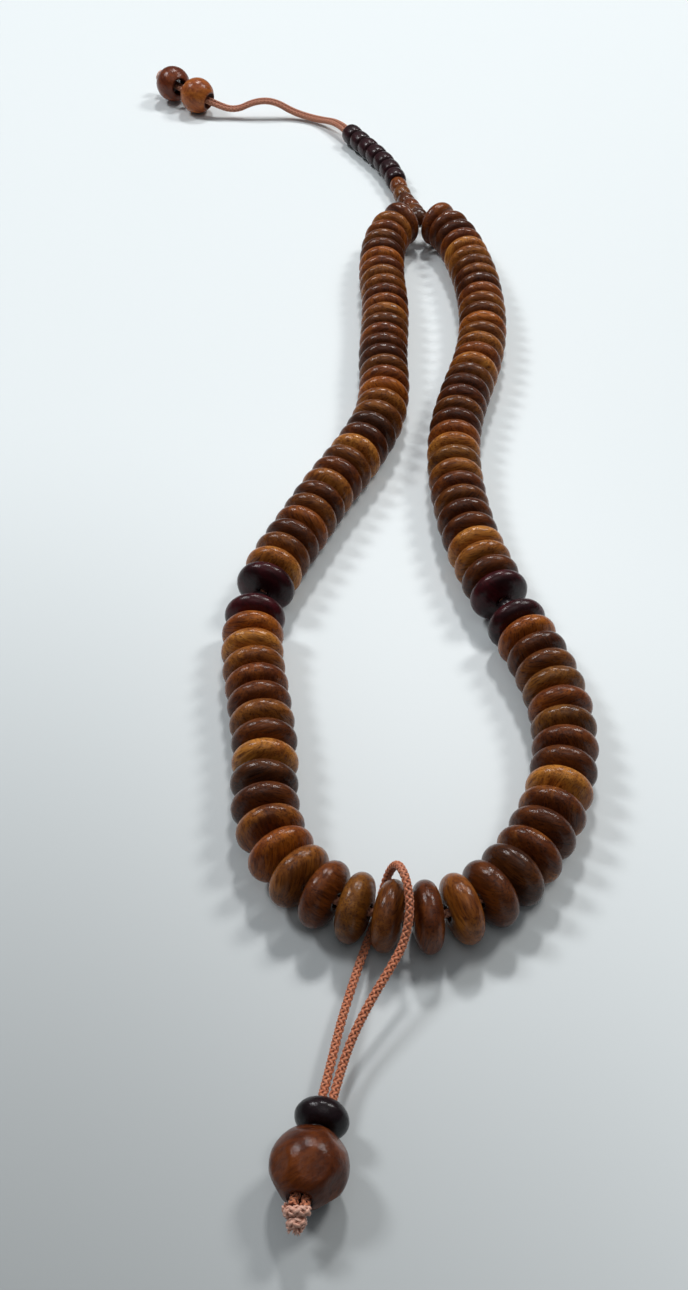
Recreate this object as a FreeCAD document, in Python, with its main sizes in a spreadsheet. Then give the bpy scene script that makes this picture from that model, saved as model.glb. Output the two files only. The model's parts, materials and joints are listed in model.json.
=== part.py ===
import FreeCAD, Part
import math
import os

import Sketcher
from FreeCAD import Placement, Rotation, Vector

# A string of wooden prayer beads lying on a table, in millimetres. +Z is up, +Y runs from the
# bottom bend of the loop to its tail, and the origin is under the middle of the strung beads.

os.makedirs("parts", exist_ok=True)
document = FreeCAD.newDocument("prayer_beads")

SIZES = [
    ("cord_diameter", 1.25),
    ("strand_spacing", 1.35),
    ("bead_diameter", 10.0),
    ("bead_thickness", 3.7),
    ("bead_rim_radius", 1.45),
    ("bead_flat_diameter", 3.0),
    ("bead_bore", 2.0),
    ("wide_bead_diameter", 10.0),
    ("wide_bead_thickness", 4.1),
    ("wide_bead_rim_radius", 1.65),
    ("wide_bead_flat_diameter", 3.0),
    ("wide_bead_bore", 2.0),
    ("divider_diameter", 10.0),
    ("divider_thickness", 4.0),
    ("divider_rim_radius", 1.5),
    ("divider_flat_diameter", 3.4),
    ("divider_bore", 1.8),
    ("spacer_diameter", 3.6),
    ("spacer_bore", 1.8),
    ("junction_diameter", 4.4),
    ("neck_diameter", 4.3),
    ("neck_thickness", 3.9),
    ("neck_rim_radius", 4.0),
    ("neck_flat_diameter", 2.9),
    ("neck_bore", 2.8),
    ("stack_diameter", 5.2),
    ("stack_thickness", 4.1),
    ("stack_rim_radius", 6.0),
    ("stack_flat_diameter", 3.3),
    ("stack_bore", 2.8),
    ("marker_disc_diameter", 6.9),
    ("marker_disc_thickness", 3.7),
    ("marker_disc_rim_radius", 1.1),
    ("marker_disc_flat_diameter", 2.9),
    ("marker_disc_bore", 2.8),
    ("marker_ball_diameter", 9.6),
    ("marker_ball_bore", 2.8),
    ("tail_ball_diameter", 9.0),
    ("tail_ball_bore", 3.7),
    ("knot_neck_diameter", 2.8),
    ("knot_diameter", 3.7),
    ("knot_tip_diameter", 1.0),
    ("knot_belly_height", 1.17),
    ("knot_length", 3.9),
    ("bead_gap", 0.1),
    ("neck_start", 1.9),
    ("tail_ball_1_from_end", 15.0),
    ("tail_ball_2_from_end", 5.3),
    ("arm_start", 4.05),
    ("arm_pitch", 3.78),
    ("front_pitch", 3.76),
    ("front_loosening", 0.42),
    ("contact_radius", 2.3),
]

sheet = document.addObject("Spreadsheet::Sheet", "sizes")
for row, (alias, value) in enumerate(SIZES, start=1):
    sheet.set("A%d" % row, alias.replace("_", " "))
    sheet.set("B%d" % row, str(value))
    sheet.setAlias("B%d" % row, alias)
document.recompute()


def size(alias):
    return float(getattr(sheet, alias))


# ---------------------------------------------------------------- routes of the cords

# The main cord, through every bead of the loop: from the junction down the left arm, round the
# bottom bend and up the right arm to the junction again.
LOOP_ROUTE = [
    (7.0, 72.1), (4.3, 70.6), (1.5, 66.4), (-0.1, 60.8), (-0.9, 53.8), (-1.1, 45.0),
    (-0.5, 35.5), (-0.8, 25.0), (-1.5, 14.5), (-1.2, 4.0), (-2.5, -7.0), (-6.9, -18.0),
    (-12.2, -28.5), (-16.5, -39.0), (-20.9, -49.0), (-23.7, -59.0), (-24.0, -69.5),
    (-22.3, -80.0), (-20.8, -90.5), (-20.8, -100.0), (-19.0, -107.5), (-15.6, -113.0),
    (-10.6, -117.0), (-4.6, -119.3), (1.8, -119.8), (7.8, -117.9), (12.9, -113.9),
    (17.1, -108.4), (20.9, -101.0), (23.6, -91.5), (23.9, -81.5), (21.8, -71.5),
    (18.1, -61.5), (15.0, -51.5), (12.5, -41.5), (11.2, -31.0), (10.8, -20.5),
    (11.6, -10.0), (14.1, 1.0), (17.3, 12.0), (19.3, 23.0), (19.8, 34.0), (19.3, 45.0),
    (18.0, 53.8), (16.5, 60.8), (14.6, 66.4), (11.7, 70.6), (9.0, 72.1),
]

# The two cord ends, side by side from the junction through the small neck beads and the dark stack.
NECK_ROUTE = [
    (7.6, 74.9, 4.5), (6.9, 79.2, 3.7), (5.3, 85.6, 2.5), (4.1, 92.2, 2.5), (2.9, 99.0, 2.65),
    (0.3, 106.6, 2.65), (-3.6, 114.2, 2.65), (-7.6, 121.8, 2.65),
]

# The same two ends, free from the stack to the knot: over a low hump, then through both balls.
TAIL_ROUTE = [
    (-7.6, 121.8, 2.65), (-11.2, 128.64, 2.65), (-16.3, 133.8, 1.0), (-22.4, 136.6, 1.6),
    (-27.6, 137.6, 4.3), (-32.6, 137.4, 4.4), (-38.2, 136.9, 1.9), (-43.9, 137.8, 3.7),
    (-52.8, 143.6, 5.4), (-57.9, 151.6, 4.2),
]

# The marker's cord: from its knot through ball and disc, under the main cord on one side of a
# bead, up behind that bead, over the main cord on its other side, and back down to the knot.
MARKER_ROUTE = [
    (-15.05, -159.03, 5.9), (-13.95, -153.76, 4.72), (-13.01, -149.25, 3.86),
    (-11.18, -141.41, 3.1), (-9.8, -134.6, 2.9), (-8.2, -128.6, 2.7), (-6.7, -123.2, 2.1),
    (-5.41, -118.6, 0.68), (-3.93, -113.4, 2.5), (-3.0, -112.8, 6.4), (-2.0, -114.4, 10.1),
    (-1.0, -118.4, 11.7), (-0.6, -121.9, 9.9), (-1.4, -124.9, 7.0), (-3.3, -128.2, 6.2),
    (-6.0, -132.6, 5.3), (-8.3, -137.0, 4.1), (-9.9, -141.69, 3.1), (-11.71, -149.53, 3.86),
    (-12.65, -154.04, 4.72), (-13.76, -159.31, 5.9),
]

JUNCTION = Vector(8.0, 72.6, 5.0)
MARKER_BALL = Vector(-13.3, -153.9, 4.8)
MARKER_BALL_AXIS = Vector(0.2, 0.955, -0.2)
MARKER_DISC = Vector(-11.9, -147.43, 3.68)
MARKER_DISC_AXIS = Vector(0.22, 0.95, -0.09)
MARKER_KNOT = Vector(-14.4, -159.17, 5.9)
MARKER_KNOT_DIRECTION = Vector(-0.19, -0.92, -0.3)
TAIL_KNOT_DIRECTION = Vector(-0.45, 0.75, 0.35)


CORNER_TRIM = 0.45  # share of the shorter run at a corner that its arc takes up


class Route:
    """Straight runs joined by tangent arcs, with points found by distance along it."""

    def __init__(self, name, points):
        corners = [Vector(*point) for point in points]
        self.edges = []
        radii = []
        reached = corners[0]
        for before, corner, after in zip(corners, corners[1:], corners[2:]):
            back = before - corner
            ahead = after - corner
            trim = CORNER_TRIM * min(back.Length, ahead.Length)
            half_turn = (math.pi - back.getAngle(ahead)) / 2
            radius = trim / math.tan(half_turn)
            radii.append(radius)
            back.normalize()
            ahead.normalize()
            start = corner + back * trim
            end = corner + ahead * trim
            inward = back + ahead
            inward.normalize()
            middle = corner + inward * (radius / math.cos(half_turn) - radius)
            self.edges.append(Part.LineSegment(reached, start).toShape())
            self.edges.append(Part.Arc(start, middle, end).toShape())
            reached = end
        self.edges.append(Part.LineSegment(reached, corners[-1]).toShape())
        self.wire = Part.Wire(self.edges)
        self.length = self.wire.Length
        print("%s: length %.1f, radii %s" % (name, self.length, [round(r, 1) for r in radii]))

    def at(self, distance):
        """The point and the direction at a distance along the route."""
        for edge in self.edges:
            if distance <= edge.Length or edge is self.edges[-1]:
                parameter = edge.getParameterByLength(min(distance, 0.999999 * edge.Length))
                return edge.valueAt(parameter), edge.tangentAt(parameter)
            distance -= edge.Length


def side_by_side(points, offset):
    """The points moved sideways, level with the table, to run beside the given route."""
    centres = [Vector(*point) for point in points]
    moved = []
    for index, centre in enumerate(centres):
        along = centres[min(index + 1, len(centres) - 1)] - centres[max(index - 1, 0)]
        side = Vector(along.y, -along.x, 0)
        side.normalize()
        moved.append(tuple(centre + side * offset))
    return moved


# ---------------------------------------------------------------- solids

def across(direction):
    """A rotation that turns a piece's own Z axis to the direction."""
    return Rotation(Vector(0, 0, 1), direction)


def new_profile(label):
    """A body and a sketch on its XZ plane, to be revolved about the body's Z axis."""
    body = document.addObject("PartDesign::Body", label)
    sketch = body.newObject("Sketcher::SketchObject", label + "_profile")
    plane = next(item for item in body.Origin.OriginFeatures if item.Role == "XZ_Plane")
    sketch.AttachmentSupport = [(plane, "")]
    sketch.MapMode = "FlatFace"
    return body, sketch


def join(sketch, pairs):
    for first, first_end, second, second_end in pairs:
        sketch.addConstraint(
            Sketcher.Constraint("Coincident", first, first_end, second, second_end))


def bind(sketch, kind, name, expression, value, *places):
    """Add a sketch dimension that follows an expression of the sheet's sizes."""
    index = sketch.addConstraint(Sketcher.Constraint(kind, *places, value))
    sketch.renameConstraint(index, name)
    sketch.setExpression("Constraints." + name, expression)


def revolve(body, sketch, place):
    turn = body.newObject("PartDesign::Revolution", body.Name + "_turned")
    turn.Profile = sketch
    turn.ReferenceAxis = (sketch, ["V_Axis"])
    turn.Angle = 360
    sketch.Visibility = False
    body.Placement = place
    return body


def make_disc(label, kind, place):
    """A turned bead: flat round its bore, then a face curve that runs into a rounded rim."""
    radius = size(kind + "_diameter") / 2
    half = size(kind + "_thickness") / 2
    rim = size(kind + "_rim_radius")
    flat = size(kind + "_flat_diameter") / 2
    bore = size(kind + "_bore") / 2
    face = ((radius - rim - flat) ** 2 + half ** 2 - rim ** 2) / (2 * (half - rim))
    rim_centre = Vector(radius - rim, 0, 0)
    face_centre = Vector(flat, half - face, 0)
    outward = (rim_centre - face_centre) if face > rim else (face_centre - rim_centre)
    outward.normalize()
    meeting = rim_centre + outward * rim
    mirrored = Vector(meeting.x, -meeting.y, 0)
    tilt = math.atan2(outward.y, outward.x)
    assert tilt > 0, kind + " has faces that cross"
    body, sketch = new_profile(label)
    up = Vector(0, 0, 1)
    low_centre = Vector(flat, face - half, 0)
    sketch.addGeometry([
        Part.LineSegment(Vector(bore, half, 0), Vector(bore, -half, 0)),
        Part.LineSegment(Vector(bore, -half, 0), Vector(flat, -half, 0)),
        Part.ArcOfCircle(Part.Circle(low_centre, up, face), -math.pi / 2, -tilt),
        Part.ArcOfCircle(Part.Circle(rim_centre, up, rim), -tilt, tilt),
        Part.ArcOfCircle(Part.Circle(face_centre, up, face), tilt, math.pi / 2),
        Part.LineSegment(Vector(flat, half, 0), Vector(bore, half, 0)),
    ], False)
    assert (mirrored - low_centre).Length - face < 1e-6
    join(sketch, [(0, 2, 1, 1), (5, 2, 0, 1)])
    sketch.addConstraint(Sketcher.Constraint("Tangent", 1, 2, 2, 1))
    sketch.addConstraint(Sketcher.Constraint("Tangent", 2, 2, 3, 1))
    sketch.addConstraint(Sketcher.Constraint("Tangent", 3, 2, 4, 1))
    sketch.addConstraint(Sketcher.Constraint("Tangent", 4, 2, 5, 1))
    sketch.addConstraint(Sketcher.Constraint("Horizontal", 1))
    sketch.addConstraint(Sketcher.Constraint("Horizontal", 5))
    sketch.addConstraint(Sketcher.Constraint("Vertical", 0))
    sketch.addConstraint(Sketcher.Constraint("PointOnObject", 3, 3, -1))
    bind(sketch, "DistanceX", "bore", "sizes.%s_bore / 2" % kind, bore, -1, 1, 0, 1)
    bind(sketch, "DistanceY", "half", "sizes.%s_thickness / 2" % kind, half, -1, 1, 0, 1)
    bind(sketch, "DistanceY", "width", "sizes.%s_thickness" % kind, 2 * half, 0, 2, 0, 1)
    bind(sketch, "DistanceX", "flat", "sizes.%s_flat_diameter / 2" % kind, flat, -1, 1, 1, 2)
    bind(sketch, "Radius", "rim", "sizes.%s_rim_radius" % kind, rim, 3)
    reach = "sizes.{0}_diameter / 2 - sizes.{0}_rim_radius".format(kind)
    bind(sketch, "DistanceX", "reach", reach, radius - rim, -1, 1, 3, 3)
    return revolve(body, sketch, place)


def make_ball(label, kind, place):
    """A turned ball with a bore."""
    radius = size(kind + "_diameter") / 2
    bore = size(kind + "_bore") / 2
    rise = math.acos(bore / radius)
    half = radius * math.sin(rise)
    body, sketch = new_profile(label)
    circle = Part.Circle(Vector(0, 0, 0), Vector(0, 0, 1), radius)
    sketch.addGeometry([
        Part.ArcOfCircle(circle, -rise, rise),
        Part.LineSegment(Vector(bore, half, 0), Vector(bore, -half, 0)),
    ], False)
    join(sketch, [(0, 2, 1, 1), (1, 2, 0, 1), (0, 3, -1, 1)])
    sketch.addConstraint(Sketcher.Constraint("Vertical", 1))
    bind(sketch, "Radius", "ball", "sizes.%s_diameter / 2" % kind, radius, 0)
    bind(sketch, "DistanceX", "bore", "sizes.%s_bore / 2" % kind, bore, -1, 1, 1, 1)
    return revolve(body, sketch, place)


def make_knot(label, place):
    """The cord ends worked into one knot: flat against its ball, bulged, drawn to a tip."""
    neck = size("knot_neck_diameter") / 2
    belly = size("knot_diameter") / 2
    belly_height = size("knot_belly_height")
    tip = size("knot_tip_diameter") / 2
    length = size("knot_length")
    body, sketch = new_profile(label)
    corners = [Vector(0, 0, 0), Vector(neck, 0, 0), Vector(belly, belly_height, 0),
               Vector(tip, length, 0), Vector(0, length, 0)]
    lines = [Part.LineSegment(a, b) for a, b in zip(corners, corners[1:] + corners[:1])]
    sketch.addGeometry(lines, False)
    join(sketch, [(0, 2, 1, 1), (1, 2, 2, 1), (2, 2, 3, 1), (3, 2, 4, 1), (4, 2, 0, 1),
                  (0, 1, -1, 1)])
    sketch.addConstraint(Sketcher.Constraint("Horizontal", 0))
    sketch.addConstraint(Sketcher.Constraint("Horizontal", 3))
    sketch.addConstraint(Sketcher.Constraint("Vertical", 4))
    bind(sketch, "DistanceX", "neck", "sizes.knot_neck_diameter / 2", neck, -1, 1, 0, 2)
    bind(sketch, "DistanceX", "belly", "sizes.knot_diameter / 2", belly, -1, 1, 1, 2)
    bind(sketch, "DistanceY", "rise", "sizes.knot_belly_height", belly_height, -1, 1, 1, 2)
    bind(sketch, "DistanceX", "tip", "sizes.knot_tip_diameter / 2", tip, -1, 1, 2, 2)
    bind(sketch, "DistanceY", "length", "sizes.knot_length", length, -1, 1, 2, 2)
    return revolve(body, sketch, place)


def make_cord(label, route):
    """A round cord swept along the whole of a route."""
    spine = document.addObject("Part::Feature", label + "_route")
    spine.Shape = route.wire
    point, direction = route.at(0.0)
    section = document.addObject("Part::Circle", label + "_section")
    section.setExpression("Radius", "sizes.cord_diameter / 2")
    section.Placement = Placement(point, across(direction))
    tube = document.addObject("Part::Sweep", label)
    tube.Sections = [section]
    tube.Spine = (spine, ["Edge%d" % (number + 1) for number in range(len(route.edges))])
    tube.Solid = True
    document.recompute()
    ideal = math.pi * (size("cord_diameter") / 2) ** 2 * route.length
    assert abs(tube.Shape.Volume / ideal - 1) < 0.01, label + " is not a full tube"
    return tube


def make_group(label, pattern, places):
    """Copies of one finished shape, each a solid of its own, as one sub-part."""
    group = document.addObject("Part::Feature", label)
    solids = []
    for place in places:
        solid = pattern.Solids[0].copy()
        solid.Placement = place
        solids.append(solid)
    group.Shape = Part.Compound(solids)
    return group


# ---------------------------------------------------------------- places along the routes

def placed(route, distance, lift=0.0):
    """The place of a bead threaded at this distance along the route."""
    point, direction = route.at(distance)
    return Placement(point + Vector(0, 0, lift), across(direction))


def next_bead(route, distance, pitch):
    """The next bead's distance: beads touch at their inner edges, so a bend spreads them."""
    step = pitch
    for _ in range(4):
        turn = route.at(distance)[1].getAngle(route.at(distance + step)[1])
        step = pitch + size("contact_radius") * turn
    return distance + step


def bead_row(route, first, pitches):
    """Distances of a row of beads that starts at a given distance."""
    distances = [first]
    for pitch in pitches:
        distances.append(next_bead(route, distances[-1], pitch))
    return distances


ARM_BEADS = 33
FRONT_BEADS = 16
FIRST_WIDE_BEAD = 13     # the front beads from here to the marker are wider than the others
ASKEW_BEAD = "left_front_bead_16"
ASKEW = Rotation(Vector(0, 0, 1), -6)    # the marker's cord holds that bead askew on the main cord
NECK_BEADS = 5
STACK_BEADS = 7


def raised(points):
    """The points of the loop at the height of the centre of a bead that stands on its rim."""
    return [point + (size("bead_diameter") / 2,) for point in points]


def touching(first, second):
    """The distance between the centres of two beads that stand face to face."""
    return (size(first + "_thickness") + size(second + "_thickness")) / 2 + size("bead_gap")


def half_loop(side, points):
    """One arm from the junction down, its divider, and its half of the front beads."""
    route = Route(side + " half of the loop", raised(points))
    arm = bead_row(route, size("arm_start"), [size("arm_pitch")] * (ARM_BEADS - 1))
    bored_radius = math.sqrt(size("spacer_diameter") ** 2 - size("spacer_bore") ** 2) / 2
    spacer_pitch = size("divider_thickness") / 2 + bored_radius + size("bead_gap")
    upper = next_bead(route, arm[-1], touching("bead", "divider"))
    spacer = next_bead(route, upper, spacer_pitch)
    lower = next_bead(route, spacer, spacer_pitch)
    pitches = [size("front_pitch") + size("front_loosening") * (number / (FRONT_BEADS - 1)) ** 2
               for number in range(1, FRONT_BEADS)]
    front = bead_row(route, next_bead(route, lower, touching("divider", "bead")), pitches)
    make_disc(side + "_divider_upper_disc", "divider", placed(route, upper))
    make_ball(side + "_divider_spacer", "spacer", placed(route, spacer))
    make_disc(side + "_divider_lower_disc", "divider", placed(route, lower))
    for number, distance in enumerate(front, start=1):
        label = "%s_front_bead_%02d" % (side, number)
        place = placed(route, distance)
        if label == ASKEW_BEAD:
            place.Rotation = ASKEW * place.Rotation
        make_disc(label, "wide_bead" if number >= FIRST_WIDE_BEAD else "bead", place)
    print(side, "front bead distances", [round(distance, 2) for distance in front])
    return [placed(route, distance) for distance in arm]


# ---------------------------------------------------------------- the loop

left_arm = half_loop("left", LOOP_ROUTE)
right_arm = half_loop("right", LOOP_ROUTE[::-1])
document.recompute()
pattern = document.getObject("left_front_bead_01").Shape.copy()
pattern.Placement = Placement()
make_group("left_arm_beads", pattern, left_arm)
make_group("right_arm_beads", pattern, right_arm)
make_cord("main_cord", Route("main cord", raised(LOOP_ROUTE)))

junction = document.addObject("Part::Sphere", "junction_bead")
junction.setExpression("Radius", "sizes.junction_diameter / 2")
junction.Placement = Placement(JUNCTION, Rotation())

# ---------------------------------------------------------------- the tail

neck_route = Route("neck", NECK_ROUTE)
neck = bead_row(neck_route, size("neck_start"), [touching("neck", "neck")] * (NECK_BEADS - 1))
stack = bead_row(neck_route, neck[-1] + touching("neck", "stack"),
                 [touching("stack", "stack")] * (STACK_BEADS - 1))
neck_pattern = make_disc("neck_bead_pattern", "neck", Placement())
document.recompute()
make_group("neck_beads", neck_pattern.Shape, [placed(neck_route, distance) for distance in neck])
for number, distance in enumerate(stack, start=1):
    make_disc("tail_stack_bead_%d" % number, "stack", placed(neck_route, distance))

half_spacing = size("strand_spacing") / 2
strands = {}
for side, offset in (("left", -half_spacing), ("right", half_spacing)):
    route = Route("neck strand " + side, side_by_side(NECK_ROUTE, offset))
    strands[side] = make_cord("neck_strand_" + side, route)
    make_cord("tail_cord_" + side, Route("tail strand " + side, side_by_side(TAIL_ROUTE, offset)))
neck_cord = document.addObject("Part::Compound", "neck_cord")
neck_cord.Links = [strands["left"], strands["right"]]

tail_route = Route("tail", TAIL_ROUTE)
for label in ("tail_ball_1", "tail_ball_2"):
    place = placed(tail_route, tail_route.length - size(label + "_from_end"))
    make_ball(label, "tail_ball", place)
tail_end = tail_route.at(tail_route.length)[0]
make_knot("tail_knot", Placement(tail_end, across(TAIL_KNOT_DIRECTION)))

# ---------------------------------------------------------------- the marker

make_cord("marker_cord", Route("marker cord", MARKER_ROUTE))
make_disc("marker_disc", "marker_disc", Placement(MARKER_DISC, across(MARKER_DISC_AXIS)))
make_ball("marker_ball", "marker_ball", Placement(MARKER_BALL, across(MARKER_BALL_AXIS)))
make_knot("marker_knot", Placement(MARKER_KNOT, across(MARKER_KNOT_DIRECTION)))

# ---------------------------------------------------------------- checks and files

NOT_SUB_PARTS = ("_pattern", "_section", "_route")
document.recompute()
for item in document.Objects:
    assert not {"Invalid", "Error"} & set(item.State), item.Name + " failed"

SUB_PART_TYPES = ("PartDesign::Body", "Part::Sweep", "Part::Compound", "Part::Sphere", "Part::Feature")
written = 0
for item in document.Objects:
    helper = item.Name.endswith(NOT_SUB_PARTS) or item.Name.startswith("neck_strand_")
    if item.TypeId not in SUB_PART_TYPES or helper:
        continue
    assert not item.Shape.isNull() and item.Shape.isValid(), item.Label + " has no valid shape"
    item.Shape.exportStep("parts/%s.step" % item.Label)
    written += 1
print(written, "sub-parts written")
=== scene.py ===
import json
import math
import random

import bpy
from mathutils import Matrix, Vector, noise


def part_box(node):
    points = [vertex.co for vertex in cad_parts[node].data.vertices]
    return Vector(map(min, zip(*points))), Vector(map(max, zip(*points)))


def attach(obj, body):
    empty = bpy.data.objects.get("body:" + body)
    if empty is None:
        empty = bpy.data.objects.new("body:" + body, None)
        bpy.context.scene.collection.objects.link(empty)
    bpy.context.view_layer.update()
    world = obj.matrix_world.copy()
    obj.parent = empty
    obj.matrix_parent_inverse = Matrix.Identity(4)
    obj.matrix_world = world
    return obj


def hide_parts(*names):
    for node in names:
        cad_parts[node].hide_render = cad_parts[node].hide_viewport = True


# A string of lacquered wooden prayer beads on braided cord, lying on a pale table. Metres.

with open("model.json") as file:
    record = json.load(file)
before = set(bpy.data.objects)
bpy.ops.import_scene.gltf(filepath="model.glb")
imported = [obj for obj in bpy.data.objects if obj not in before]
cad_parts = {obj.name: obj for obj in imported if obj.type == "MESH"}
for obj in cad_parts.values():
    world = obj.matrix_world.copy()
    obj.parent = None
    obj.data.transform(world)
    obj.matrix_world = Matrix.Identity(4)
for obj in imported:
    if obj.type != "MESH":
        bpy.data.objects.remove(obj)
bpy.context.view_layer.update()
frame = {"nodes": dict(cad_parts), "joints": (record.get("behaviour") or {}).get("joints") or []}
JOINTS = {joint["child"]: joint for joint in frame["joints"]}
MM = 0.001

# ---------------------------------------------------------------- routes of the cords

# The main cord, through every bead of the loop, from the junction round to the junction.
LOOP_ROUTE = [
    (0.007, 0.0721), (0.0043, 0.0706), (0.0015, 0.0664), (-0.0001, 0.0608), (-0.0009, 0.0538),
    (-0.0011, 0.045), (-0.0005, 0.0355), (-0.0008, 0.025), (-0.0015, 0.0145), (-0.0012, 0.004),
    (-0.0025, -0.007), (-0.0069, -0.018), (-0.0122, -0.0285), (-0.0165, -0.039),
    (-0.0209, -0.049), (-0.0237, -0.059), (-0.024, -0.0695), (-0.0223, -0.08), (-0.0208, -0.0905),
    (-0.0208, -0.1), (-0.019, -0.1075), (-0.0156, -0.113), (-0.0106, -0.117), (-0.0046, -0.1193),
    (0.0018, -0.1198), (0.0078, -0.1179), (0.0129, -0.1139), (0.0171, -0.1084), (0.0209, -0.101),
    (0.0236, -0.0915), (0.0239, -0.0815), (0.0218, -0.0715), (0.0181, -0.0615), (0.015, -0.0515),
    (0.0125, -0.0415), (0.0112, -0.031), (0.0108, -0.0205), (0.0116, -0.01), (0.0141, 0.001),
    (0.0173, 0.012), (0.0193, 0.023), (0.0198, 0.034), (0.0193, 0.045), (0.018, 0.0538),
    (0.0165, 0.0608), (0.0146, 0.0664), (0.0117, 0.0706), (0.009, 0.0721),
]

NECK_ROUTE = [
    (0.0076, 0.0749, 0.0045), (0.0069, 0.0792, 0.0037), (0.0053, 0.0856, 0.0025),
    (0.0041, 0.0922, 0.0025), (0.0029, 0.099, 0.00265), (0.0003, 0.1066, 0.00265),
    (-0.0036, 0.1142, 0.00265), (-0.0076, 0.1218, 0.00265),
]

TAIL_ROUTE = [
    (-0.0076, 0.1218, 0.00265), (-0.0112, 0.12864, 0.00265), (-0.0163, 0.1338, 0.001),
    (-0.0224, 0.1366, 0.0016), (-0.0276, 0.1376, 0.0043), (-0.0326, 0.1374, 0.0044),
    (-0.0382, 0.1369, 0.0019), (-0.0439, 0.1378, 0.0037), (-0.0528, 0.1436, 0.0054),
    (-0.0579, 0.1516, 0.0042),
]

MARKER_ROUTE = [
    (-0.01505, -0.15903, 0.0059), (-0.01395, -0.15376, 0.00472), (-0.01301, -0.14925, 0.00386),
    (-0.01118, -0.14141, 0.0031), (-0.0098, -0.1346, 0.0029), (-0.0082, -0.1286, 0.0027),
    (-0.0067, -0.1232, 0.0021), (-0.00541, -0.1186, 0.00068), (-0.00393, -0.1134, 0.0025),
    (-0.003, -0.1128, 0.0064), (-0.002, -0.1144, 0.0101), (-0.001, -0.1184, 0.0117),
    (-0.0006, -0.1219, 0.0099), (-0.0014, -0.1249, 0.007), (-0.0033, -0.1282, 0.0062),
    (-0.006, -0.1326, 0.0053), (-0.0083, -0.137, 0.0041), (-0.0099, -0.14169, 0.0031),
    (-0.01171, -0.14953, 0.00386), (-0.01265, -0.15404, 0.00472), (-0.01376, -0.15931, 0.0059),
]

BEAD_RADIUS = 5.0 * MM
CORD_DIAMETER = 1.25 * MM
STRAND_SPACING = 1.35 * MM

# ---------------------------------------------------------------- materials

def new_material(name):
    """A node material: its tree, its surface shader and a helper that adds a node."""
    material = bpy.data.materials.new(name)
    material.use_nodes = True
    tree = material.node_tree
    shader = tree.nodes["Principled BSDF"]

    def add(kind, inputs=(), **settings):
        node = tree.nodes.new(kind)
        for key, value in settings.items():
            setattr(node, key, value)
        for socket, value in dict(inputs).items():
            if isinstance(value, bpy.types.NodeSocket):
                tree.links.new(value, node.inputs[socket])
            else:
                node.inputs[socket].default_value = value
        return node

    return material, tree, shader, add


def stretched_noise(add, vector, stretch, detail=3.0, roughness=0.55):
    """Noise in a bead's own coordinates in millimetres, stretched along the wood's grain."""
    scaled = add("ShaderNodeMapping", {"Vector": vector, "Scale": stretch})
    return add("ShaderNodeTexNoise", {"Vector": scaled.outputs["Vector"], "Scale": 1.0,
                                      "Detail": detail, "Roughness": roughness}).outputs["Fac"]


def ramp(add, value, low, high):
    """The value taken from low..high to 0..1, smoothly."""
    return add("ShaderNodeMapRange", {"Value": value, "From Min": low, "From Max": high},
               interpolation_type="SMOOTHSTEP").outputs["Result"]


def mix(add, factor, first, second, mode="MIX"):
    """Two colours mixed by a factor, which may be a socket or a number."""
    node = add("ShaderNodeMixRGB", {"Fac": factor, "Color1": first, "Color2": second},
               blend_type=mode)
    return node.outputs["Color"]


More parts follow.
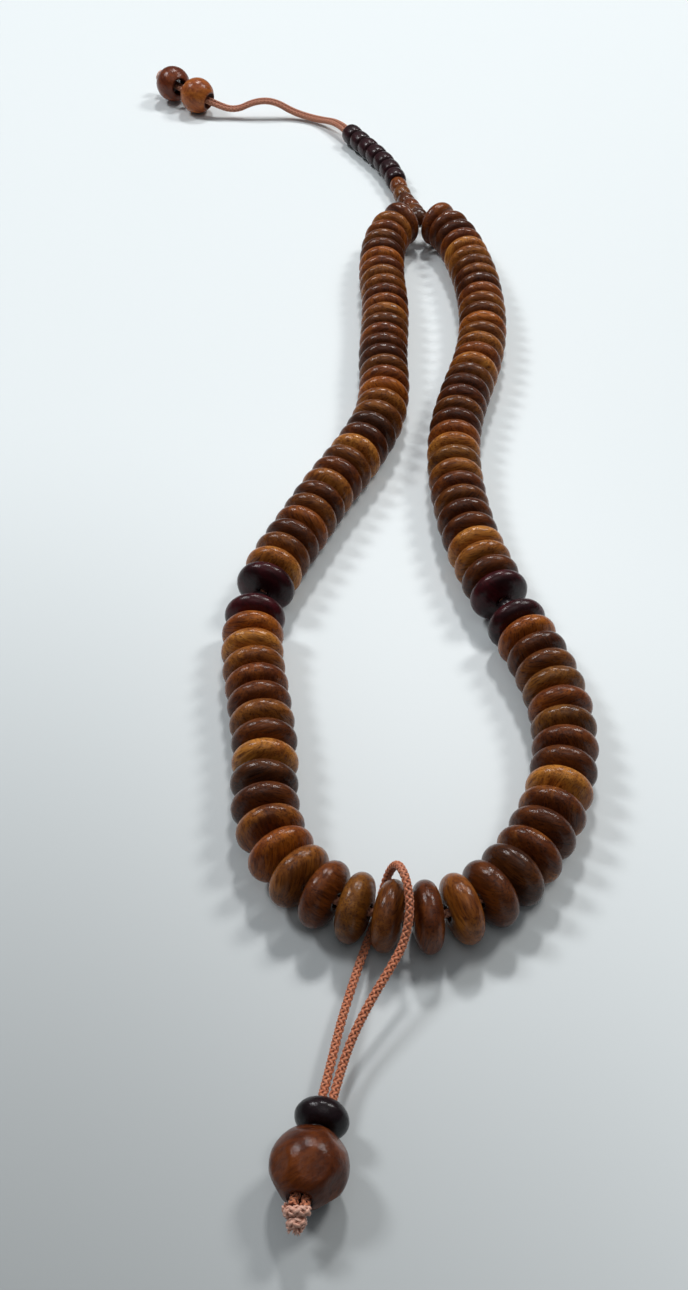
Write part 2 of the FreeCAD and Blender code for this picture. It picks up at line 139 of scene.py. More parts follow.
def wood(name, streak_depth, pore_depth, coat_roughness, relief):
    """Lacquered wood. Each bead carries its own colours and grain coordinates."""
    material, tree, shader, add = new_material(name)
    grain = add("ShaderNodeAttribute", attribute_name="grain").outputs["Vector"]
    tone = add("ShaderNodeAttribute", attribute_name="tone").outputs["Color"]
    second = add("ShaderNodeAttribute", attribute_name="second_tone").outputs["Color"]
    edge = add("ShaderNodeAttribute", attribute_name="edge").outputs["Fac"]

    patches = ramp(add, stretched_noise(add, grain, (0.13, 0.22, 0.22)), 0.42, 0.62)
    colour = mix(add, patches, tone, second)
    bands = ramp(add, stretched_noise(add, grain, (0.16, 1.5, 1.5), 2.0), 0.35, 0.7)
    colour = mix(add, bands, colour, (0.62, 0.55, 0.5, 1), "MULTIPLY")
    streaks = ramp(add, stretched_noise(add, grain, (0.28, 4.4, 4.4), 5.0, 0.65), 0.47, 0.66)
    streaks = add("ShaderNodeMath", {0: streaks, 1: streak_depth}, operation="MULTIPLY")
    colour = mix(add, streaks.outputs["Value"], colour, (0.28, 0.2, 0.16, 1), "MULTIPLY")
    pores = ramp(add, stretched_noise(add, grain, (0.9, 9.0, 9.0), 2.0), 0.62, 0.7)
    pores = add("ShaderNodeMath", {0: pores, 1: pore_depth}, operation="MULTIPLY")
    colour = mix(add, pores.outputs["Value"], colour, (0.2, 0.13, 0.1, 1), "MULTIPLY")
    # Painted shade: the wood is darkened towards each bead's hole, where the cord and the
    # neighbouring beads shade it.
    colour = mix(add, edge, colour, (0.35, 0.25, 0.22, 1), "MULTIPLY")
    tree.links.new(colour, shader.inputs["Base Color"])

    drips = stretched_noise(add, grain, (1.1, 1.3, 1.3), 2.0)
    specks = stretched_noise(add, grain, (4.2, 4.6, 4.6), 3.0, 0.7)
    coat_height = add("ShaderNodeMath", {0: specks, 1: 0.42, 2: drips}, operation="MULTIPLY_ADD")
    coat_bump = add("ShaderNodeBump", {"Strength": 0.55 * relief, "Distance": 0.12 * MM,
                                       "Height": coat_height.outputs["Value"]})
    under = add("ShaderNodeMath", {0: streaks.outputs["Value"], 1: -1.0}, operation="MULTIPLY")
    wood_bump = add("ShaderNodeBump", {"Strength": 0.5 * relief, "Distance": 0.1 * MM,
                                       "Height": under.outputs["Value"],
                                       "Normal": coat_bump.outputs["Normal"]})
    tree.links.new(wood_bump.outputs["Normal"], shader.inputs["Normal"])
    tree.links.new(coat_bump.outputs["Normal"], shader.inputs["Coat Normal"])
    shader.inputs["Roughness"].default_value = 0.5
    shader.inputs["Specular IOR Level"].default_value = 0.08
    shader.inputs["Coat Weight"].default_value = 0.8
    shader.inputs["Coat IOR"].default_value = 1.33
    shader.inputs["Coat Roughness"].default_value = coat_roughness
    return material


def yarn(name, light, dark):
    """Glossy nylon yarn: fine fibres along each yarn, with painted light on the yarns' crowns and
    painted shade down between the yarns.
    """
    material, tree, shader, add = new_material(name)
    along = add("ShaderNodeAttribute", attribute_name="fibre").outputs["Vector"]
    height = add("ShaderNodeAttribute", attribute_name="crown").outputs["Fac"]
    fibres = stretched_noise(add, along, (9.0, 0.9, 3.0), 3.0, 0.6)
    wear = ramp(add, stretched_noise(add, along, (0.0, 0.22, 2.0), 2.0), 0.35, 0.7)
    # Painted light and shade: the dark colour down between the yarns and on the core, the light
    # colour on the yarns' crowns.
    colour = mix(add, ramp(add, height, 0.1, 0.95), dark, light)
    colour = mix(add, ramp(add, fibres, 0.35, 0.65), colour, (0.66, 0.56, 0.52, 1), "MULTIPLY")
    colour = mix(add, wear, colour, (1.0, 0.86, 0.8, 1), "MULTIPLY")
    tree.links.new(colour, shader.inputs["Base Color"])
    bump = add("ShaderNodeBump", {"Strength": 0.6, "Distance": 0.03 * MM, "Height": fibres})
    tree.links.new(bump.outputs["Normal"], shader.inputs["Normal"])
    shader.inputs["Roughness"].default_value = 0.42
    shader.inputs["Sheen Weight"].default_value = 0.25
    shader.inputs["Sheen Roughness"].default_value = 0.4
    return material


BEAD_WOOD = wood("bead_wood", 0.85, 0.6, 0.15, 1.0)
DARK_WOOD = wood("dark_wood", 0.35, 0.2, 0.2, 0.8)
BALL_WOOD = wood("ball_wood", 0.3, 0.15, 0.17, 1.1)
# Each yarn gets two colours: the painted light on its crowns, then the painted shade between the
# yarns.
CORD_YARN = yarn("cord_yarn", (0.6, 0.26, 0.15, 1), (0.17, 0.045, 0.022, 1))
MARKER_YARN = yarn("marker_yarn", (0.62, 0.22, 0.1, 1), (0.12, 0.025, 0.011, 1))
PALE_YARN = yarn("pale_yarn", (0.78, 0.48, 0.37, 1), (0.4, 0.16, 0.1, 1))

# ---------------------------------------------------------------- cords

def smooth_points(points):
    """Points along the smooth line that the control points give."""
    curve = bpy.data.curves.new("route", "CURVE")
    curve.dimensions = "3D"
    spline = curve.splines.new("NURBS")
    spline.points.add(len(points) - 1)
    for control, point in zip(spline.points, points):
        control.co = (*point, 1)
    spline.order_u = 3
    spline.use_endpoint_u = True
    spline.resolution_u = 24
    holder = bpy.data.objects.new("route", curve)
    bpy.context.scene.collection.objects.link(holder)
    bpy.context.view_layer.update()
    line = bpy.data.meshes.new_from_object(holder)
    found = [vertex.co.copy() for vertex in line.vertices]
    bpy.data.objects.remove(holder)
    bpy.data.curves.remove(curve)
    bpy.data.meshes.remove(line)
    return found


def evenly(points, step):
    """The same line with its points a step apart."""
    spaced = [points[0]]
    left = step
    for start, end in zip(points, points[1:]):
        run = (end - start).length
        reached = 0.0
        while run - reached >= left:
            reached += left
            spaced.append(start.lerp(end, reached / run))
            left = step
        left -= run - reached
    return spaced


def side_by_side(points, offset):
    """The points moved sideways, level with the table, to run beside the given route."""
    moved = []
    for index, centre in enumerate(points):
        ahead = points[min(index + 1, len(points) - 1)]
        behind = points[max(index - 1, 0)]
        along = Vector(ahead) - Vector(behind)
        side = Vector((along.y, -along.x, 0)).normalized()
        moved.append(Vector(centre) + side * offset)
    return moved


def carried_frames(points):
    """Two directions across the line at each point, carried along it without twist."""
    frames = []
    side = None
    for index, point in enumerate(points):
        ahead = points[min(index + 1, len(points) - 1)]
        behind = points[max(index - 1, 0)]
        along = (ahead - behind).normalized()
        if side is None:
            side = along.orthogonal()
        side = (side - along * side.dot(along)).normalized()
        frames.append((side, along.cross(side)))
    return frames


class Surface:
    """Vertices, faces and per-vertex values that build up one mesh."""

    def __init__(self):
        self.points = []
        self.faces = []
        self.values = {}

    def add(self, point, **values):
        self.points.append(point)
        for name, value in values.items():
            self.values.setdefault(name, []).append(value)

    def tube(self, first, rings, around, closed=False):
        """Faces between rings of vertices that were added one ring after another."""
        total = rings if closed else rings - 1
        for ring in range(total):
            here = first + ring * around
            there = first + (ring + 1) % rings * around
            for step in range(around):
                after = (step + 1) % around
                self.faces.append((here + step, here + after, there + after, there + step))
        if not closed:
            self.faces.append(tuple(first + step for step in reversed(range(around))))
            last = first + (rings - 1) * around
            self.faces.append(tuple(last + step for step in range(around)))

    def piece(self, name, material):
        mesh = bpy.data.meshes.new(name)
        mesh.from_pydata([tuple(point) for point in self.points], [], self.faces)
        kinds = {1: ("FLOAT", "value"), 3: ("FLOAT_VECTOR", "vector"), 4: ("FLOAT_COLOR", "color")}
        for label, values in self.values.items():
            width = len(values[0]) if hasattr(values[0], "__len__") else 1
            kind, field = kinds[width]
            layer = mesh.attributes.new(label, kind, "POINT")
            flat = [part for value in values for part in value] if width > 1 else values
            layer.data.foreach_set(field, flat)
        mesh.polygons.foreach_set("use_smooth", [True] * len(mesh.polygons))
        mesh.materials.append(material)
        mesh.update()
        piece = bpy.data.objects.new(name, mesh)
        bpy.context.scene.collection.objects.link(piece)
        return piece


YARNS_EACH_WAY = 4
YARN_SIDES = 7
YARN_WAVE = 0.15        # over-and-under height, as a share of the cord's radius
YARN_RING = 0.63        # radius of the yarns' ring, as a share of the cord's radius
YARN_HALF_WIDTH = 0.42
YARN_HALF_DEPTH = 0.24
BRAID_TURN = 3.1        # length of one turn of a yarn, in cord diameters
CORE_SHARE = 0.55


def braid(surface, line, diameter, yarn_offset=0.0):
    """Yarns plaited over and under each other round a line of points."""
    radius = diameter / 2
    frames = carried_frames(line)
    step = (line[1] - line[0]).length
    turn = BRAID_TURN * diameter
    for number in range(2 * YARNS_EACH_WAY):
        way = 1 if number < YARNS_EACH_WAY else -1
        first = len(surface.points)
        start = 2 * math.pi * (number % YARNS_EACH_WAY) / YARNS_EACH_WAY
        for index, (point, (side, up)) in enumerate(zip(line, frames)):
            wound = 2 * math.pi * index * step / turn
            angle = start + way * wound
            wave = way * math.cos(YARNS_EACH_WAY * wound)
            outward = side * math.cos(angle) + up * math.sin(angle)
            around = up * math.cos(angle) - side * math.sin(angle)
            centre = point + outward * radius * (YARN_RING + YARN_WAVE * wave)
            for corner in range(YARN_SIDES):
                turned = 2 * math.pi * corner / YARN_SIDES
                across = around * math.cos(turned) * YARN_HALF_WIDTH * radius
                lifted = outward * math.sin(turned) * YARN_HALF_DEPTH * radius
                # Painted light: lighter on each yarn's outer side and where it rides over the
                # others, darker where it dips under.
                crown = 0.5 + 0.3 * wave + 0.25 * math.sin(turned)
                fibre = (math.cos(turned) * 0.5 + number, index * step / MM, yarn_offset + number)
                surface.add(centre + across + lifted, crown=crown, fibre=fibre)
        surface.tube(first, len(line), YARN_SIDES)
    first = len(surface.points)
    for point, (side, up) in zip(line, frames):
        for corner in range(YARN_SIDES):
            turned = 2 * math.pi * corner / YARN_SIDES
            reach = (side * math.cos(turned) + up * math.sin(turned)) * radius * CORE_SHARE
            # The core is painted in the shade colour.
            surface.add(point + reach, crown=0.0, fibre=(0.0, 0.0, 0.0))
    surface.tube(first, len(line), YARN_SIDES)


def braided_cord(name, points, material, step=0.17 * MM):
    """A braided cord along the smooth line of the control points, and that line."""
    line = evenly(smooth_points(points), step)
    surface = Surface()
    braid(surface, line, CORD_DIAMETER)
    return surface.piece(name, material), line


# ---------------------------------------------------------------- turned pieces

CHAMFER = 0.18 * MM     # at the edge of a bead's hole
FACE_PARTS = 7          # steps of an outline from the flat out to the rim
RIM_PARTS = 6           # steps of an outline round the rim to its widest point
GLOBE_PARTS = 24        # steps of a ball's outline from hole to hole


def rondelle(radius, half, rim, flat, bore):
    """Half outline of a turned disc, from the upper lip of its bore over the rim to the lower one.
    """
    face = ((radius - rim - flat) ** 2 + half ** 2 - rim ** 2) / (2 * (half - rim))
    if face > rim:
        tilt = math.atan2(face - half, radius - rim - flat)
    else:
        tilt = math.atan2(half - face, flat - radius + rim)
    upper = [(bore, half - 1.6 * CHAMFER), (bore + 0.3 * CHAMFER, half - 0.5 * CHAMFER),
             (bore + CHAMFER, half), (flat, half)]
    for part in range(1, FACE_PARTS + 1):
        angle = math.pi / 2 + (tilt - math.pi / 2) * part / FACE_PARTS
        upper.append((flat + face * math.cos(angle), half - face + face * math.sin(angle)))
    for part in range(1, RIM_PARTS + 1):
        angle = tilt * (1 - part / RIM_PARTS)
        upper.append((radius - rim + rim * math.cos(angle), rim * math.sin(angle)))
    return upper + [(reach, -height) for reach, height in reversed(upper[:-1])]


def globe(radius, bore):
    """Half outline of a bored ball."""
    rise = math.acos(bore / radius)
    angles = [rise - 2 * rise * part / GLOBE_PARTS for part in range(GLOBE_PARTS + 1)]
    return [(radius * math.cos(angle), radius * math.sin(angle)) for angle in angles]


COUNTING = rondelle(5.0 * MM, 1.85 * MM, 1.45 * MM, 1.5 * MM, 1.0 * MM)
WIDE = rondelle(5.0 * MM, 2.05 * MM, 1.65 * MM, 1.5 * MM, 1.0 * MM)
DIVIDER = rondelle(5.0 * MM, 2.0 * MM, 1.5 * MM, 1.7 * MM, 0.9 * MM)
SPACER = globe(1.8 * MM, 0.9 * MM)
NECK = rondelle(2.15 * MM, 1.95 * MM, 4.0 * MM, 1.45 * MM, 1.4 * MM)
STACK = rondelle(2.6 * MM, 2.05 * MM, 6.0 * MM, 1.65 * MM, 1.4 * MM)
JUNCTION = globe(2.2 * MM, 0.6 * MM)
MARKER_DISC = rondelle(3.45 * MM, 1.85 * MM, 1.1 * MM, 1.45 * MM, 1.4 * MM)
MARKER_BALL = globe(4.8 * MM, 1.4 * MM)
TAIL_BALL = globe(4.5 * MM, 2.05 * MM)     # the hole clears the relief of both braids

WEAR_SPAN = 3.4 * MM    # distance over which a turned surface rises and falls
MOST_TILT = 0.35        # how far the grain may lean from square to the hole, in radians
GRAIN_RANGE = 90        # how far apart in the wood two pieces may be cut, in millimetres


def worn(reach, height, angle, seed, depth):
    """How far a hand-turned surface falls inside its ideal outline, in metres."""
    spot = Vector((reach * math.cos(angle), reach * math.sin(angle), height)) / WEAR_SPAN
    return depth * (0.5 + 0.5 * noise.noise(spot + Vector((seed, 0.7 * seed, 1.3 * seed))))


def planes_round(facets, seed):
    """Directions of the flat cuts round a hand-cut ball, in a row above and a row below."""
    chance = random.Random(seed)
    found = []
    for row, rise in enumerate((0.62, -0.55)):
        for number in range(facets):
            angle = 2 * math.pi * (number + 0.5 * row + chance.uniform(-0.12, 0.12)) / facets
            lift = rise + chance.uniform(-0.08, 0.08)
            found.append(Vector((math.cos(lift) * math.cos(angle),
                                 math.cos(lift) * math.sin(angle), math.sin(lift))))
    return found


def planed(point, planes, depth):
    """How far the deepest flat cut at a point falls inside the ball there."""
    radius = point.length
    reach = max((point.dot(plane) for plane in planes), default=0.0)
    return max(0.0, reach - (radius - depth))


def turned(name, outline, place, wood_kind, tone, second, seed, depth=0.07 * MM,
           planes=(), cut_depth=0.0, segments=56):
    """A turned wooden piece with its own grain direction and colours."""
    chance = random.Random(seed)
    tilt = Matrix.Rotation(chance.uniform(-MOST_TILT, MOST_TILT), 3, "Y")
    spin = Matrix.Rotation(chance.uniform(0, 2 * math.pi), 3, "Z")
    offset = Vector([chance.uniform(0, GRAIN_RANGE) for _ in range(3)])
    widest = max(reach for reach, _ in outline)
    narrowest = min(reach for reach, _ in outline)
    surface = Surface()
    for reach, height in outline:
        outer = (reach - narrowest) / (widest - narrowest)
        for step in range(segments):
            angle = 2 * math.pi * step / segments
            inside = worn(reach, height, angle, seed, depth) * min(1.0, 4 * outer)
            ideal = Vector((reach * math.cos(angle), reach * math.sin(angle), height))
            inside += planed(ideal, planes, cut_depth)
            point = ideal * (1 - inside / ideal.length)
            grain = tilt @ (spin @ point) / MM + offset
            # The last value is painted shade near the hole: full at the bore, gone a sixth of the
            # way out to the widest point.
            surface.add(point, tone=(*tone, 1), second_tone=(*second, 1), grain=tuple(grain),
                        edge=max(0.0, 1 - 6 * outer))
    surface.tube(0, len(outline), segments, closed=True)
    piece = surface.piece(name, wood_kind)
    piece.data.transform(place)
    return piece


def placed(centre, axis):
    """The place of a piece whose own Z axis lies along the axis."""
    turn = Vector((0, 0, 1)).rotation_difference(Vector(axis))
    return Matrix.Translation(Vector(centre)) @ turn.to_matrix().to_4x4()


def spun(node):
    """The place of a bead that turns about its own joint."""
    return placed(JOINTS[node]["pos_m"], JOINTS[node]["axis"])


def stand_in(piece, body, node):
    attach(piece, body)
    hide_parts(node)
    return piece


TOGETHER = 0.001 * MM   # vertices closer than this are one vertex


def solids_of(node):
    """The centre of each solid in a group, in order from the bottom bend of the loop up."""
    mesh = frame["nodes"][node].data
    index_of = {}
    merged = []
    for vertex in mesh.vertices:
        key = tuple(round(part / TOGETHER) for part in vertex.co)
        merged.append(index_of.setdefault(key, len(index_of)))
    leader = list(range(len(index_of)))

    def find(index):
        while leader[index] != index:
            leader[index] = leader[leader[index]]
            index = leader[index]
        return index

    for polygon in mesh.polygons:
        corners = [find(merged[index]) for index in polygon.vertices]
        for corner in corners[1:]:
            leader[find(corner)] = find(corners[0])
    groups = {}
    for vertex, index in zip(mesh.vertices, merged):
        groups.setdefault(find(index), []).append(vertex.co)
    centres = []
    for points in groups.values():
        lowest = Vector([min(point[axis] for point in points) for axis in range(3)])
        highest = Vector([max(point[axis] for point in points) for axis in range(3)])
        centres.append((lowest + highest) / 2)
    return sorted(centres, key=lambda centre: centre.y)


def direction_near(line, centre):
    """The direction of the cord's line where it passes a bead's centre."""
    index = min(range(1, len(line) - 1), key=lambda i: (line[i] - centre).length_squared)
    return (line[index + 1] - line[index - 1]).normalized()


# ---------------------------------------------------------------- colours of the wood

# Each finish has a main colour and the colour of its darker or lighter patches.
FINISHES = {
    "orange": ((0.408, 0.116, 0.0112), (0.266, 0.0645, 0.0077)),
    "gold": ((0.522, 0.202, 0.0315), (0.361, 0.112, 0.0154)),
    "tan": ((0.361, 0.125, 0.0189), (0.237, 0.0688, 0.0098)),
    "light": ((0.304, 0.103, 0.0168), (0.19, 0.0568, 0.0084)),
    "olive": ((0.228, 0.0817, 0.0119), (0.123, 0.0396, 0.0063)),
    "brown": ((0.2, 0.062, 0.009), (0.125, 0.034, 0.006)),
    "rust": ((0.27, 0.072, 0.01), (0.15, 0.034, 0.006)),
    "red": ((0.185, 0.048, 0.008), (0.11, 0.025, 0.005)),
    "mixed": ((0.123, 0.0284, 0.0049), (0.342, 0.112, 0.0168)),
    "dark": ((0.0855, 0.0206, 0.0042), (0.142, 0.037, 0.0056)),
    "plum": ((0.066, 0.019, 0.005), (0.12, 0.034, 0.006)),
    "wine": ((0.022, 0.0015, 0.003), (0.055, 0.002, 0.005)),
    "ebony": ((0.005, 0.002, 0.003), (0.01, 0.003, 0.005)),
    "stack": ((0.016, 0.003, 0.005), (0.03, 0.005, 0.008)),
    "amber": ((0.42, 0.12, 0.018), (0.3, 0.07, 0.012)),
    "cherry": ((0.2, 0.042, 0.009), (0.13, 0.024, 0.006)),
    "carved": ((0.085, 0.017, 0.002), (0.15, 0.033, 0.003)),
}

# Front beads from the divider down to the marker.
LEFT_FRONT = """orange gold tan rust red light dark gold plum dark mixed orange light red olive
    brown""".split()
RIGHT_FRONT = """orange dark brown olive rust olive red dark gold mixed dark mixed plum dark tan
    red""".split()
# Arm beads from the divider up to the junction.
LEFT_ARM = """gold brown dark rust brown dark tan red brown gold dark plum light tan orange rust
    brown dark dark rust brown tan rust red tan light rust orange dark brown rust tan red""".split()
RIGHT_ARM = """dark tan gold dark dark brown red tan olive gold rust dark brown red dark brown gold
    rust tan light orange brown tan rust dark mixed brown tan gold rust dark red rust""".split()

# ---------------------------------------------------------------- the loop


def raised(route):
    return [Vector((x, y, BEAD_RADIUS)) for x, y in route]


main_cord, main_line = braided_cord("loop_cord", raised(LOOP_ROUTE), CORD_YARN, 0.24 * MM)
stand_in(main_cord, "loop", "main_cord")

DIVIDER_WEAR = 0.12 * MM
FIRST_WIDE_BEAD = 13    # the front beads from here to the marker are wider than the others

seed = 1
for side, finishes in (("left", LEFT_FRONT), ("right", RIGHT_FRONT)):
    for number, finish in enumerate(finishes, start=1):
        node = "%s_front_bead_%02d" % (side, number)
        seed += 1
        outline = WIDE if number >= FIRST_WIDE_BEAD else COUNTING
        bead = turned(node + "_wood", outline, spun(node), BEAD_WOOD, *FINISHES[finish], seed)
        stand_in(bead, node, node)
    for part, outline, finish in (("upper_disc", DIVIDER, "wine"), ("spacer", SPACER, "ebony"),
                                  ("lower_disc", DIVIDER, "wine")):
        node = "%s_divider_%s" % (side, part)
        seed += 1
        piece = turned(node + "_wood", outline, spun(node), DARK_WOOD, *FINISHES[finish], seed,
                       depth=DIVIDER_WEAR)
        stand_in(piece, node, node)

for side, finishes in (("left", LEFT_ARM), ("right", RIGHT_ARM)):
    group = side + "_arm_beads"
    for number, (centre, finish) in enumerate(zip(solids_of(group), finishes), start=1):
        seed += 1
        place = placed(centre, direction_near(main_line, centre))
        name = "%s_arm_bead_%02d" % (side, number)
        bead = turned(name, COUNTING, place, BEAD_WOOD, *FINISHES[finish], seed)
        stand_in(bead, "loop", group)

# ---------------------------------------------------------------- the tail

NECK_FINISHES = ("brown", "rust", "dark", "brown", "rust")
STACK_BEADS = 7

for side, offset in (("left", -STRAND_SPACING / 2), ("right", STRAND_SPACING / 2)):
    route = side_by_side(NECK_ROUTE + TAIL_ROUTE[1:], offset)
    strand, line = braided_cord("tail_strand_" + side, route, CORD_YARN)
    stand_in(strand, "tail", "tail_cord_" + side)
    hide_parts("neck_cord")
neck_line = evenly(smooth_points(NECK_ROUTE), 0.2 * MM)

low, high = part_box("junction_bead")
junction = turned("junction_ball", JUNCTION, placed((low + high) / 2, (1, 0, 0)), DARK_WOOD,
                  *FINISHES["plum"], seed=801)
stand_in(junction, "loop", "junction_bead")

for number, centre in enumerate(solids_of("neck_beads"), start=1):
    finish = NECK_FINISHES[number - 1]
    bead = turned("neck_bead_%d" % number, NECK, placed(centre, direction_near(neck_line, centre)),
                  BEAD_WOOD, *FINISHES[finish], seed=810 + number, depth=0.05 * MM)
    stand_in(bead, "tail", "neck_beads")

for number in range(1, STACK_BEADS + 1):
    node = "tail_stack_bead_%d" % number
    bead = turned(node + "_wood", STACK, spun(node), DARK_WOOD, *FINISHES["stack"],
                  seed=820 + number)
    stand_in(bead, node, node)

for node, finish in (("tail_ball_1", "amber"), ("tail_ball_2", "cherry")):
    ball = turned(node + "_wood", TAIL_BALL, spun(node), BALL_WOOD, *FINISHES[finish],
                  seed=830, depth=0.1 * MM)
    stand_in(ball, node, node)

# ---------------------------------------------------------------- knots

KNOT_COILS = 1.6
COIL_STEPS = 8          # control points to one coil
KNOT_START = 0.2 * MM   # the first coil's distance from the ball
KNOT_LENGTH = 2.0 * MM
KNOT_STEP = 0.14 * MM   # distance between the rings of its braid
KNOT_WIDE = 1.18 * MM
KNOT_NARROW = 0.42 * MM
# The strand that crosses over the coils, in millimetres.
KNOT_CROSSING = [(-1.3, 0.1, 0.1), (-1.5, -0.5, 0.7), (-0.6, -1.35, 1.2), (0.6, -0.9, 1.8),
                 (0.35, 0.1, 2.3)]
TUFT_FIBRES = 26
TUFT_RADIUS = 0.3       # in millimetres, as are the next two
TUFT_START = 2.0
TUFT_LEAN = 0.55
FIBRE_THICKNESS = (0.09, 0.075, 0.03)
FIBRE_SIDES = 5


def tied_knot(name, place, material, seed):
    """The cord ends wound on themselves and pulled tight, with a short frayed tuft."""
    chance = random.Random(seed)
    surface = Surface()
    controls = []
    for index in range(int(KNOT_COILS * COIL_STEPS) + 1):
        share = index / (KNOT_COILS * COIL_STEPS)
        angle = 2 * math.pi * index / COIL_STEPS
        reach = KNOT_WIDE + (KNOT_NARROW - KNOT_WIDE) * share ** 1.4
        controls.append(Vector((reach * math.cos(angle), reach * math.sin(angle),
                                KNOT_START + KNOT_LENGTH * share)))
    braid(surface, evenly(smooth_points(controls), KNOT_STEP), CORD_DIAMETER)
    crossing = [Vector(point) * MM for point in KNOT_CROSSING]
    braid(surface, evenly(smooth_points(crossing), KNOT_STEP), CORD_DIAMETER, 3.0)
    for number in range(TUFT_FIBRES):
        angle = chance.uniform(0, 2 * math.pi)
        lean = chance.uniform(0.0, TUFT_LEAN)
        base = Vector((TUFT_RADIUS * math.cos(angle), TUFT_RADIUS * math.sin(angle),
                       TUFT_START)) * MM
        tip = base + Vector((lean * math.cos(angle), lean * math.sin(angle),
                             chance.uniform(0.5, 1.0))) * MM
        bend = base.lerp(tip, 0.5) + Vector((0, 0, chance.uniform(0.0, 0.15))) * MM
        first = len(surface.points)
        line = [base, bend, tip]
        for ring, (point, (side, up)) in enumerate(zip(line, carried_frames(line))):
            thick = FIBRE_THICKNESS[ring] * MM
            for corner in range(FIBRE_SIDES):
                turn = 2 * math.pi * corner / FIBRE_SIDES
                surface.add(point + (side * math.cos(turn) + up * math.sin(turn)) * thick,
                            crown=0.8, fibre=(corner * 0.3, 0.4 * ring, float(number)))
        surface.tube(first, len(line), FIBRE_SIDES)
    knot = surface.piece(name, material)
    knot.data.transform(place)
    return knot


MARKER_KNOT = (-0.0144, -0.15917, 0.0059)
MARKER_KNOT_DIRECTION = (-0.19, -0.92, -0.3)
TAIL_KNOT_DIRECTION = (-0.45, 0.75, 0.35)

marker_knot = tied_knot("marker_knot_tied", placed(MARKER_KNOT, MARKER_KNOT_DIRECTION),
                        PALE_YARN, seed=11)
stand_in(marker_knot, "marker", "marker_knot")
tail_knot = tied_knot("tail_knot_tied", placed(TAIL_ROUTE[-1], TAIL_KNOT_DIRECTION),
                      PALE_YARN, seed=12)
stand_in(tail_knot, "tail", "tail_knot")

# ---------------------------------------------------------------- the marker

marker_cord, marker_line = braided_cord("marker_loop", [Vector(p) for p in MARKER_ROUTE],
                                        MARKER_YARN, 0.15 * MM)
stand_in(marker_cord, "marker", "marker_cord")
marker_disc = turned("marker_disc_wood", MARKER_DISC, spun("marker_disc"), DARK_WOOD,
                     *FINISHES["ebony"], seed=901, depth=0.1 * MM)
stand_in(marker_disc, "marker_disc", "marker_disc")
marker_ball = turned("marker_ball_wood", MARKER_BALL, spun("marker_ball"), BALL_WOOD,
                     *FINISHES["carved"], seed=903, depth=0.16 * MM, planes=planes_round(6, 5),
                     cut_depth=0.34 * MM, segments=108)
stand_in(marker_ball, "marker_ball", "marker_ball")

# ---------------------------------------------------------------- table, light, camera


TABLE_REACH = 3.0
# A patch of painted shade on the table top, darkest round this point.
SHADE_CENTRE = (-0.11, -0.26, 0)
SHADE_FROM = 0.04       # darkest within this distance of the shade's centre
SHADE_TO = 0.27         # gone beyond this one
SHADE_COLOUR = (0.185, 0.196, 0.2, 1)
TABLE_COLOUR = (0.74, 0.785, 0.8, 1)


def table_top():
    """Pale enamel with painted shade towards the near left corner."""
    reach = TABLE_REACH
    mesh = bpy.data.meshes.new("table_top")
    mesh.from_pydata([(-reach, -reach, 0), (reach, -reach, 0), (reach, reach, 0),
                      (-reach, reach, 0)], [], [(0, 1, 2, 3)])
    material, tree, shader, add = new_material("pale_table")
    place = add("ShaderNodeTexCoord").outputs["Object"]
    away = add("ShaderNodeVectorMath", {0: place, 1: SHADE_CENTRE}, operation="DISTANCE")
    shade = mix(add, ramp(add, away.outputs["Value"], SHADE_FROM, SHADE_TO), SHADE_COLOUR,
                TABLE_COLOUR)
    tree.links.new(shade, shader.inputs["Base Color"])
    shader.inputs["Roughness"].default_value = 0.42
    shader.inputs["Specular IOR Level"].default_value = 0.3
    mesh.materials.append(material)
    floor = bpy.data.objects.new("table_top", mesh)
    bpy.context.scene.collection.objects.link(floor)


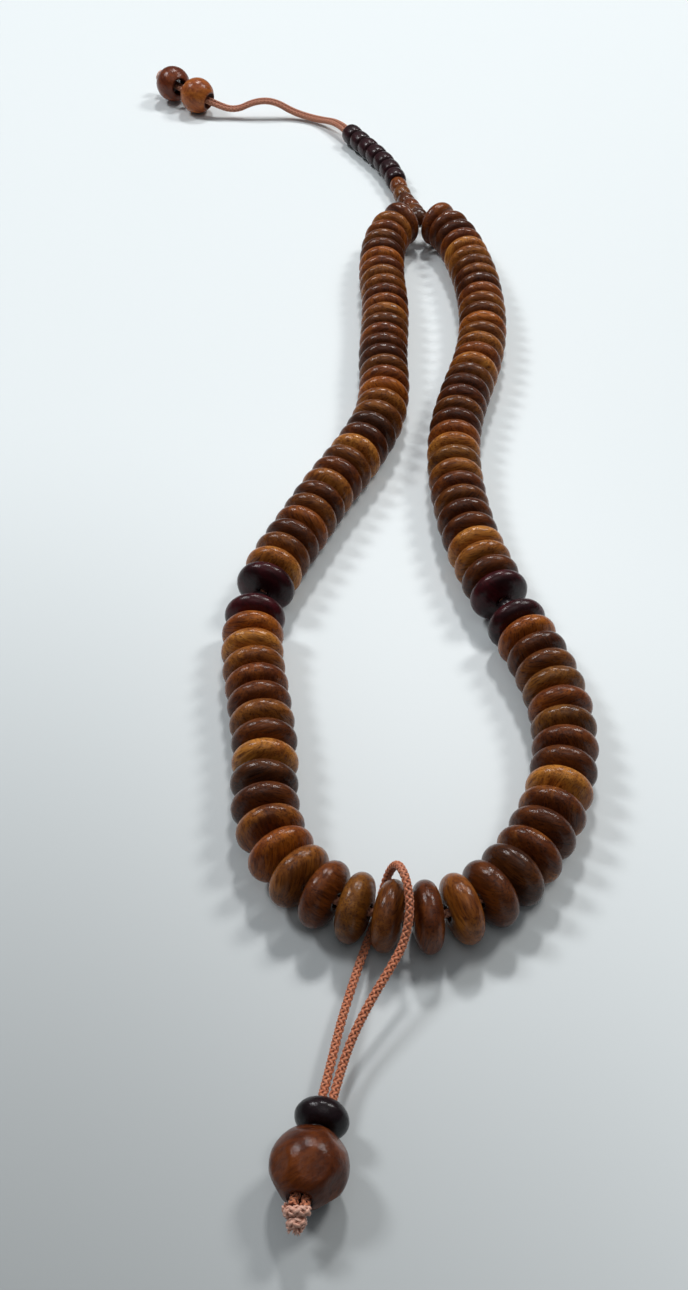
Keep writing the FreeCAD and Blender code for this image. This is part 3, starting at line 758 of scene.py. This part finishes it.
def soft_light(name, place, aim, size, power, colour=(1, 1, 1)):
    """A square area lamp of the size in metres and the power in watts."""
    light = bpy.data.lights.new(name, "AREA")
    light.size = size
    light.energy = power
    light.color = colour
    lamp = bpy.data.objects.new(name, light)
    lamp.location = place
    towards = Vector(aim) - Vector(place)
    lamp.rotation_euler = towards.to_track_quat("-Z", "Y").to_euler()
    bpy.context.scene.collection.objects.link(lamp)


WORLD_RANGE = {"From Min": 0.15, "From Max": 0.95, "To Min": 0.04, "To Max": 0.26}
WORLD_COLOUR = (0.9, 0.96, 1.0, 1)


def studio_world():
    """Soft light from above that falls off towards the horizon."""
    world = bpy.data.worlds.new("studio")
    world.use_nodes = True
    tree = world.node_tree
    background = tree.nodes["Background"]
    direction = tree.nodes.new("ShaderNodeTexCoord")
    split = tree.nodes.new("ShaderNodeSeparateXYZ")
    tree.links.new(direction.outputs["Generated"], split.inputs[0])
    height = tree.nodes.new("ShaderNodeMapRange")
    for socket, value in WORLD_RANGE.items():
        height.inputs[socket].default_value = value
    tree.links.new(split.outputs["Z"], height.inputs["Value"])
    tree.links.new(height.outputs["Result"], background.inputs["Strength"])
    background.inputs["Color"].default_value = WORLD_COLOUR
    bpy.context.scene.world = world


table_top()
studio_world()
soft_light("lamp_right", (0.62, 0.42, 0.9), (0, -0.05, 0), 0.24, 5.5, (1.0, 0.99, 0.97))
soft_light("lamp_left", (-0.66, 0.32, 0.9), (0, -0.05, 0), 0.24, 5.5, (0.97, 0.985, 1.0))
soft_light("lamp_back", (0.05, 0.62, 0.85), (0, -0.05, 0), 0.12, 4.1)
soft_light("lamp_near", (0.0, -0.45, 1.1), (0, -0.1, 0), 0.6, 1.0)

bpy.context.scene.view_settings.view_transform = "Standard"

SENSOR_HEIGHT = 24.0
FOCAL_SHARE = 1.0921    # focal length over the frame's height
camera = bpy.data.cameras.new("camera")
camera.sensor_fit = "VERTICAL"
camera.sensor_height = SENSOR_HEIGHT
camera.lens = SENSOR_HEIGHT * FOCAL_SHARE
camera.clip_start = 0.01
viewer = bpy.data.objects.new("camera", camera)
viewer.location = (-0.00925, -0.228, 0.16239)
viewer.rotation_euler = (math.radians(45.5), 0, 0)
bpy.context.scene.collection.objects.link(viewer)
bpy.context.scene.camera = viewer
